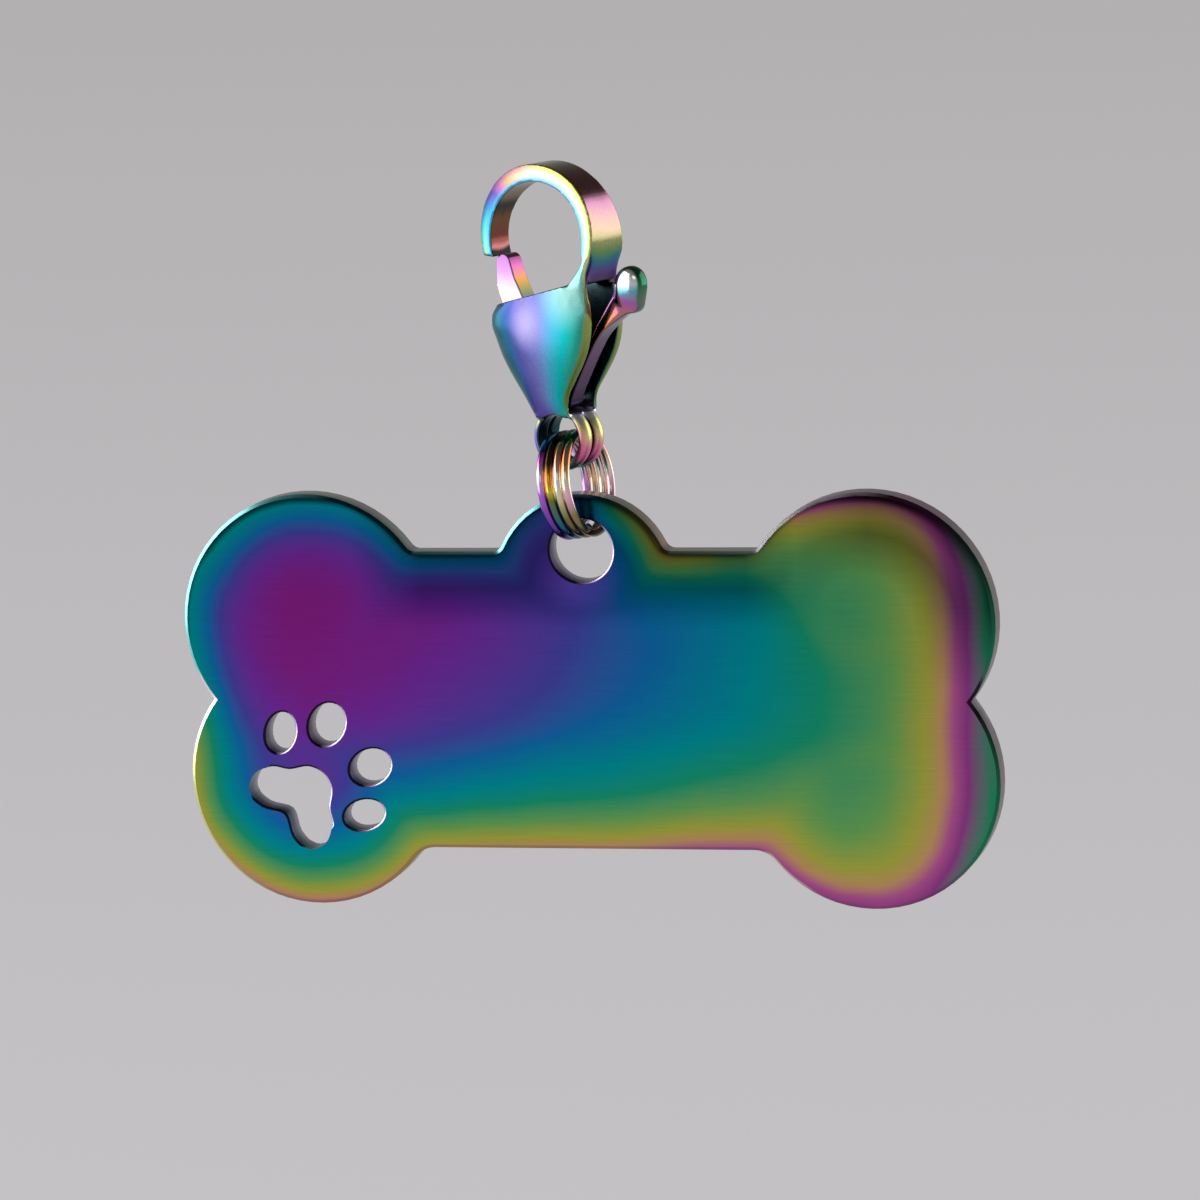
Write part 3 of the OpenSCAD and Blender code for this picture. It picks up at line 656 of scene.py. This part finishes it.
def hookColour(tree, at, x, z, nx, nz, face):
    rise = put(tree, "Math SUBTRACT", z, clasp["hookZ"])
    angle = put(tree, "Math ARCTAN2", rise, x)
    angle = put(tree, "Math ADD", angle, put(tree, "Math MULTIPLY", put(
        tree, "Math LESS_THAN", angle, math.radians(-100)), 2 * math.pi))
    turn = put(tree, "MapRange", angle, math.radians(-40), math.radians(200), 0.0, 1.0)
    turn = put(tree, "Math ADD", turn, wander(tree, at, 0.5, 0.05))
    # Outwards from the hook's middle or inwards to its bore
    out = put(tree, "Math ADD", put(tree, "Math MULTIPLY", nx, put(tree, "Math COSINE", angle)),
              put(tree, "Math MULTIPLY", nz, put(tree, "Math SINE", angle)))
    outwards = between(tree, out, -0.2, 0.2)
    wall = put(tree, "MixRGB", outwards, put(tree, "ValToRGB", turn, stops=hookBore),
               put(tree, "ValToRGB", turn, stops=hookSide))
    # The polished edges go cyan inside, and yellow outside up to the crown
    rimRun = put(tree, "ValToRGB", turn, stops=[(0.0, "#E0E868"), (0.48, "#E0E068"), (0.6, "#A06860"),
                                                (0.72, "#503868"), (0.85, "#2E5878"), (1.0, "#408878")])
    edge = put(tree, "MixRGB", outwards, linear("#58C8E8"), rimRun)
    wall = put(tree, "MixRGB", between(tree, face, 0.35, 0.8), wall, edge)
    # On the front face too the colour changes towards its rims
    far = put(tree, "VectorMath LENGTH", put(tree, "CombineXYZ", x, rise)).node.outputs["Value"]
    outside = put(tree, "MapRange", z, clasp["hookZ"], 0.8, 3.48, 3.7)
    share = put(tree, "MapRange", far, clasp["bore"], outside, 0.0, 1.0)
    front = put(tree, "ValToRGB", turn, stops=hookFace)
    inner = put(tree, "Math MULTIPLY", between(tree, share, 0.5, 0.05), 0.85)
    front = put(tree, "MixRGB", inner, front, linear("#50B0DC"))
    outer = put(tree, "ValToRGB", turn, stops=[(0.0, "#C0D860"), (0.5, "#CCD060"), (0.62, "#B87890"),
                                               (0.75, "#403870"), (0.85, "#2E6878"), (1.0, "#48A078")])
    front = put(tree, "MixRGB", put(tree, "Math MULTIPLY", between(tree, share, 0.5, 0.92), 0.9), front, outer)
    hook = put(tree, "MixRGB", between(tree, face, 0.86, 0.97), wall, front)
    # Painted shade: the end of the tip, where it faces down, is painted near black
    tip = put(tree, "Math MULTIPLY", between(tree, nz, -0.3, -0.6), between(tree, x, -2.0, -2.4))
    return put(tree, "MixRGB", tip, hook, linear("#141210"))


def cheekColour(tree, at, x, z, nx, nz, depth):
    half = put(tree, "Math MULTIPLY_ADD", z, 0.34, 4.7)
    across = put(tree, "Math DIVIDE", put(tree, "Math SUBTRACT", x, 0.42), half)
    across = put(tree, "Math ADD", put(tree, "Math MULTIPLY_ADD", across, 0.5, 0.5), wander(tree, at, 0.5, 0.1))
    cheek = put(tree, "ValToRGB", across, stops=cheekRun)
    # Painted highlight: a soft lavender spot on the cheek's crown
    cheek = put(tree, "MixRGB", spot(tree, x, z, (-0.1, -6.7), (1.3, 1.7)), cheek, linear("#A8A0D4"))
    cheek = put(tree, "MixRGB", spot(tree, x, z, (2.2, -4.9), (2.0, 2.4)), cheek, linear("#A8E0D8"))
    cheek = put(tree, "MixRGB", spot(tree, x, z, (0.2, -11.5), (1.6, 1.6)), cheek, linear("#6A52B4"))
    # Their right flank is olive. Painted shade: the top edge, where it faces up, is painted plum, and the slot
    # between them is painted dark, with a painted near-white glint at its foot
    flank = put(tree, "MixRGB", between(tree, z, -9.5, -5.5), linear("#6E8A3E"), linear("#A8B468"))
    cheek = put(tree, "MixRGB", between(tree, nx, 0.42, 0.75), cheek, flank)
    cheek = put(tree, "MixRGB", between(tree, nz, 0.5, 0.85), cheek, linear("#5A3A78"))
    inside = put(tree, "Math MULTIPLY", between(tree, depth, 1.12, 1.02), between(tree, z, -4.4, -4.8))
    left = put(tree, "Math MULTIPLY", between(tree, nx, -0.1, -0.5), between(tree, nz, 0.6, 0.3))
    inside = put(tree, "Math MULTIPLY", inside, put(tree, "Math SUBTRACT", 1.0, left))
    deep = put(tree, "MixRGB", between(tree, z, -10.3, -11.1), linear("#2A1E38"), linear("#E8E0FF"))
    return put(tree, "MixRGB", inside, cheek, deep)


# Round the eye: mauve to the left, rose to the right; the yellow rims to the right and the pale yellow towards its
# top are painted highlight, and its bore is painted dark as shade
def eyeColour(tree, cheek, x, z, nx, nz, depth):
    ex, ez = put(tree, "Math SUBTRACT", x, clasp["eye"][0]), put(tree, "Math SUBTRACT", z, clasp["eye"][1])
    reach = put(tree, "VectorMath LENGTH", put(tree, "CombineXYZ", ex, ez)).node.outputs["Value"]
    eyeOut = put(tree, "Math ADD", put(tree, "Math MULTIPLY", nx, ex), put(tree, "Math MULTIPLY", nz, ez))
    rim = put(tree, "ValToRGB", put(tree, "MapRange", put(tree, "Math MULTIPLY_ADD", ez, 0.35, ex), -1.7, 1.7,
                                    0.0, 1.0),
              stops=[(0.0, "#7468B4"), (0.3, "#6A5AA4"), (0.55, "#44907E"), (0.75, "#C86094"),
                     (0.9, "#EC88A8"), (1.0, "#F4F094")])
    rim = put(tree, "MixRGB", between(tree, ez, 0.2, 1.1), rim, linear("#D8DC90"))
    rim = put(tree, "MixRGB", between(tree, eyeOut, 0.1, -0.4), rim, linear("#1E4848"))
    rim = put(tree, "MixRGB", between(tree, depth, 0.2, 0.06), rim, linear("#241A20"))
    eye = put(tree, "Math MULTIPLY", between(tree, reach, 1.9, 1.62), between(tree, z, -11.0, -11.5))
    return put(tree, "MixRGB", eye, cheek, rim)


def claspMaterial(name):
    material, tree = newMaterial(name)
    at, normal = claspFrame(tree)
    x, y, z = put(tree, "SeparateXYZ", at).node.outputs
    nx, ny, nz = put(tree, "SeparateXYZ", normal).node.outputs
    depth, face = put(tree, "Math ABSOLUTE", y), put(tree, "Math ABSOLUTE", ny)
    hook = hookColour(tree, at, x, z, nx, nz, face)
    body = eyeColour(tree, cheekColour(tree, at, x, z, nx, nz, depth), x, z, nx, nz, depth)
    # The body's colours begin below a slanted line, higher on the front, and leave out the hook's tip
    level = put(tree, "Math MULTIPLY_ADD", x, clasp["shoulderSlope"], z)
    level = put(tree, "Math ADD", level, put(tree, "Math MULTIPLY", between(tree, face, 0.6, 0.9), -0.7))
    tipZone = put(tree, "Math MULTIPLY", between(tree, x, -1.5, -2.0), between(tree, z, -4.8, -4.5))
    lower = put(tree, "Math MULTIPLY", between(tree, level, -3.6, -4.7), put(tree, "Math SUBTRACT", 1.0, tipZone))
    colour = put(tree, "MixRGB", lower, hook, body)
    fine = fineNoise(tree, at, 9.0)
    colour = multiplied(tree, colour, following(tree, fine, 0.9, 1.08))
    # The body is more satin than the hook
    satin = put(tree, "MapRange", z, -5.2, -4.4, 0.12, 0.0)
    metalOutput(tree, colour, put(tree, "Math ADD", satin, following(tree, fine, 0.15, 0.24)), fine, 0.006)
    return material


makeClasp(clasp)
print("clasp made")

# Lever: one stamping with its knob, rounded the same way
lever = {"voxel": 0.04, "rounds": 5, "knobRounds": 150, "lastRounds": 12, "sharp": 50,
         # The knob's middle and half its size, and where its rounding begins
         "knob": (4.76, -4.95, 0.76, 1.0), "knobFrom": (2.9, -6.9), "knobSoft": (0.6, 0.9),
         # How full it is at its middle, how fast it thins from there and at most, and how much wider it gets
         "crown": 1.08, "dome": 0.4, "domeLeast": 0.6, "knobGrow": 1.09,
         "neck": (4.88, -5.62), "neckRadius": 0.52, "neckDepth": 1.0, "segments": 32}
gateFront = [(0.0, "#D0A870"), (0.3, "#D8C8A8"), (0.5, "#D0C4D0"), (0.75, "#C090CC"), (1.0, "#B070BC")]
gateSide = [(0.0, "#6A8088"), (0.4, "#5A6A68"), (0.52, "#8A8448"), (0.66, "#C88A48"), (0.85, "#C060A0"),
            (1.0, "#6A3A60")]
# Painted shade and highlight: the thumb arm's front is painted near black low down in the slot and near white on
# the knob
armFront = [(0.0, "#14101C"), (0.3, "#3A2430"), (0.5, "#B06048"), (0.62, "#D08468"), (0.74, "#B868B8"),
            (0.82, "#60B8C8"), (0.88, "#E0E8E8"), (0.96, "#FFFFF0"), (1.0, "#D8D080")]
armSide = [(0.0, "#3A2A48"), (0.35, "#6A4A70"), (0.6, "#6A6880"), (0.75, "#6A8070"), (0.85, "#2E7A50"),
           (1.0, "#245038")]


def leverMaterial(name):
    material, tree = newMaterial(name)
    at, normal = claspFrame(tree)
    x, _, z = put(tree, "SeparateXYZ", at).node.outputs
    nx, ny, _ = put(tree, "SeparateXYZ", normal).node.outputs
    shift = wander(tree, at, 0.9, 0.1)
    flat = between(tree, put(tree, "Math ABSOLUTE", ny), 0.5, 0.85)
    # Each arm has colours up its edges and others up its flat front and back
    arms = []
    for low, high, edge, face in ((-7.0, -3.6, gateSide, gateFront), (-10.5, -3.9, armSide, armFront)):
        up = put(tree, "Math ADD", shift, put(tree, "MapRange", z, low, high, 0.0, 1.0))
        arms.append(put(tree, "MixRGB", flat, put(tree, "ValToRGB", up, stops=edge),
                        put(tree, "ValToRGB", up, stops=face)))
    gate, arm = arms
    # The upper half of the thumb arm is violet where it faces left
    violet = put(tree, "Math MULTIPLY", between(tree, nx, -0.1, -0.6), between(tree, z, -7.5, -6.0))
    arm = put(tree, "MixRGB", violet, arm, linear("#D890E8"))
    colour = put(tree, "MixRGB", between(tree, x, -0.3, 0.3), gate, arm)
    fine = fineNoise(tree, at, 9.0)
    metalOutput(tree, colour, following(tree, fine, 0.1, 0.18), fine, 0.006)
    return material


def makeLever(settings):
    work = copied(["clasp_lever"], toClasp)
    addRod(work, settings["neckRadius"], settings["neckDepth"], settings["segments"], *settings["neck"])
    work = rounded(work, settings["voxel"], settings["rounds"])
    roundMore(work, knobShare, settings["knobRounds"])
    # The knob is full at its middle and thins towards its rim
    midX, midZ, halfX, halfZ = settings["knob"]
    for v in work.verts:
        s, dx, dz = knobShare(v.co, None), v.co.x - midX, v.co.z - midZ
        fall = settings["dome"] * ((dx / halfX) ** 2 + (dz / halfZ) ** 2)
        crown = settings["crown"] * math.sqrt(max(1 - fall, settings["domeLeast"]))
        grow = (settings["knobGrow"] - 1) * s
        v.co += Vector((dx * grow, v.co.y * (crown - 1) * s, dz * grow))
    roundMore(work, knobShare, settings["lastRounds"])
    piece = finished("claspLever", work, toClasp.inverted(), settings["sharp"])
    storeNormals(piece, toClasp)
    piece.data.materials.append(leverMaterial("rainbowLever"))
    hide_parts("clasp_lever")
    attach(piece, bodyOf("clasp_lever"))


makeLever(lever)
print("lever made")

# Pin and spring
pin = {"at": (0.8494, -10.4464), "radius": 0.28, "half": 1.22, "soft": 0.05, "segments": 48}


def plainSteel(name, code, rough):
    material, tree = newMaterial(name)
    place = put(tree, "TexCoord").node.outputs["Object"]
    at = put(tree, "Mapping", place, (0, 0, 0), (0, 0, 0), (perMetre,) * 3)
    fine = fineNoise(tree, at, 6.0)
    colour = put(tree, "MixRGB", following(tree, fine, 0.0, 0.4), linear(code), linear("#E6E4E0"))
    metalOutput(tree, colour, following(tree, fine, rough, rough + 0.1), fine, 0.005)
    return material


def makePin(settings):
    work = bmesh.new()
    addRod(work, settings["radius"], 2 * settings["half"], settings["segments"])
    softenEnds(work, settings["soft"], 3)
    bmesh.ops.translate(work, verts=work.verts, vec=(settings["at"][0], 0, settings["at"][1]))
    piece = finished("pivotPin", work, toClasp.inverted())
    piece.data.materials.append(plainSteel("pinSteel", "#B8B4AE", 0.2))
    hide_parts("pivot_pin")
    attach(piece, bodyOf("pivot_pin"))


makePin(pin)
nodes["lever_spring"].data.materials.clear()
nodes["lever_spring"].data.materials.append(plainSteel("springSteel", "#8C8A88", 0.25))
print("pin and spring made")

# Split rings: one wire wound twice, stepping over near its ends
rings = {"radius": 2.42, "wire": 0.2, "pitch": 0.43, "apart": 0.9, "start": -25.0, "joggle": 40.0,
         "steps": 96, "stepOver": 14, "round": 20, "soft": 0.04, "middle": (-0.28, 0.78, 10.3964),
         "lean": 8.0, "turn": 11.0}
# Colours of each turn of wire from its foot to its head; the near-white stops are painted highlight
ringRun = {
    "splitRingLeft": ([(0.0, "#403080"), (0.2, "#7A48B0"), (0.45, "#C070F0"), (0.66, "#FFE8FF"),
                       (0.8, "#E060D8"), (0.86, "#1A2448"), (0.94, "#20A0D8"), (1.0, "#182038")],
                      [(0.0, "#1A4A78"), (0.2, "#2A7088"), (0.4, "#7A8440"), (0.5, "#E8D040"),
                       (0.6, "#F0A040"), (0.75, "#4A3A20"), (1.0, "#2A2014")]),
    "splitRingRight": ([(0.0, "#5A5038"), (0.25, "#8A7C50"), (0.4, "#E8E0A8"), (0.6, "#FFF8F0"),
                        (0.75, "#F0B8A0"), (0.85, "#B87858"), (0.95, "#48A058"), (1.0, "#205030")],
                       [(0.0, "#6A5C40"), (0.25, "#9A8A68"), (0.4, "#F0B8D0"), (0.6, "#FFF4D0"),
                        (0.75, "#F8A860"), (0.85, "#C08060"), (0.95, "#30A060"), (1.0, "#184830")]),
}
ringPlace = (Matrix.Translation(plate["at"] + Vector(rings["middle"]))
             @ Matrix.Rotation(math.radians(-rings["turn"]), 4, "Z")
             @ Matrix.Rotation(math.radians(-rings["lean"]), 4, "Y"))


def ringMaterial(name, side):
    material, tree = newMaterial(name)
    place = put(tree, "TexCoord").node.outputs["Object"]
    back = ringPlace.inverted().to_euler()
    middle = ringPlace.to_translation() * milli
    at = put(tree, "Mapping", put(tree, "VectorMath SUBTRACT", place, middle), (0, 0, 0), back, (perMetre,) * 3)
    x, y, z = put(tree, "SeparateXYZ", at).node.outputs
    height = put(tree, "Math ADD", put(tree, "MapRange", z, -2.6, 2.6, 0.0, 1.0), wander(tree, at, 0.7, 0.16))
    first, second = (put(tree, "ValToRGB", height, stops=s) for s in ringRun[name])
    turns = between(tree, put(tree, "Math SUBTRACT", x, side * rings["apart"] / 2), -0.03, 0.03)
    colour = put(tree, "MixRGB", turns, first, second)
    # Painted highlight: the wire behind the eye is painted paler
    pale = put(tree, "Math MULTIPLY", between(tree, y, 0.6, 1.6), 0.45)
    colour = put(tree, "MixRGB", pale, colour, linear("#F4D8DC"))
    fine = fineNoise(tree, at, 9.0)
    metalOutput(tree, colour, following(tree, fine, 0.1, 0.2), fine, 0.005)
    return material


def makeRing(node, name, side, settings):
    work = bmesh.new()
    start = math.radians(settings["start"])
    first = bmesh.ops.create_circle(work, cap_ends=True, segments=settings["round"], radius=settings["wire"])
    turnTo = (Matrix.Translation((-settings["pitch"] / 2, 0, 0)) @ Matrix.Rotation(start, 4, "X")
              @ Matrix.Translation((0, settings["radius"], 0)))
    bmesh.ops.transform(work, matrix=turnTo, verts=first["verts"])
    front = work.faces[:] + work.edges[:] + work.verts[:]
    winding = (360 - settings["joggle"], settings["steps"], 0)
    stepOver = (settings["joggle"], settings["stepOver"], settings["pitch"])
    for angle, steps, over in (winding, stepOver, winding):
        # The step over is eased, so it is spun a little at a time
        for i in range(steps):
            ease = [t * t * (3 - 2 * t) for t in (i / steps, (i + 1) / steps)]
            spun = bmesh.ops.spin(work, geom=front, cent=(0, 0, 0), axis=(1, 0, 0),
                                  dvec=((ease[1] - ease[0]) * over, 0, 0),
                                  angle=math.radians(angle / steps), steps=1, use_merge=False,
                                  use_duplicate=False)
            front = spun["geom_last"]
    bmesh.ops.translate(work, verts=work.verts, vec=(side * settings["apart"] / 2, 0, 0))
    softenEnds(work, settings["soft"], 2)
    piece = finished(name, work, ringPlace)
    piece.data.materials.append(ringMaterial(name, side))
    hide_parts(node)
    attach(piece, bodyOf(node))


makeRing("split_ring_left", "splitRingLeft", -1, rings)
makeRing("split_ring_right", "splitRingRight", 1, rings)
print("rings made")
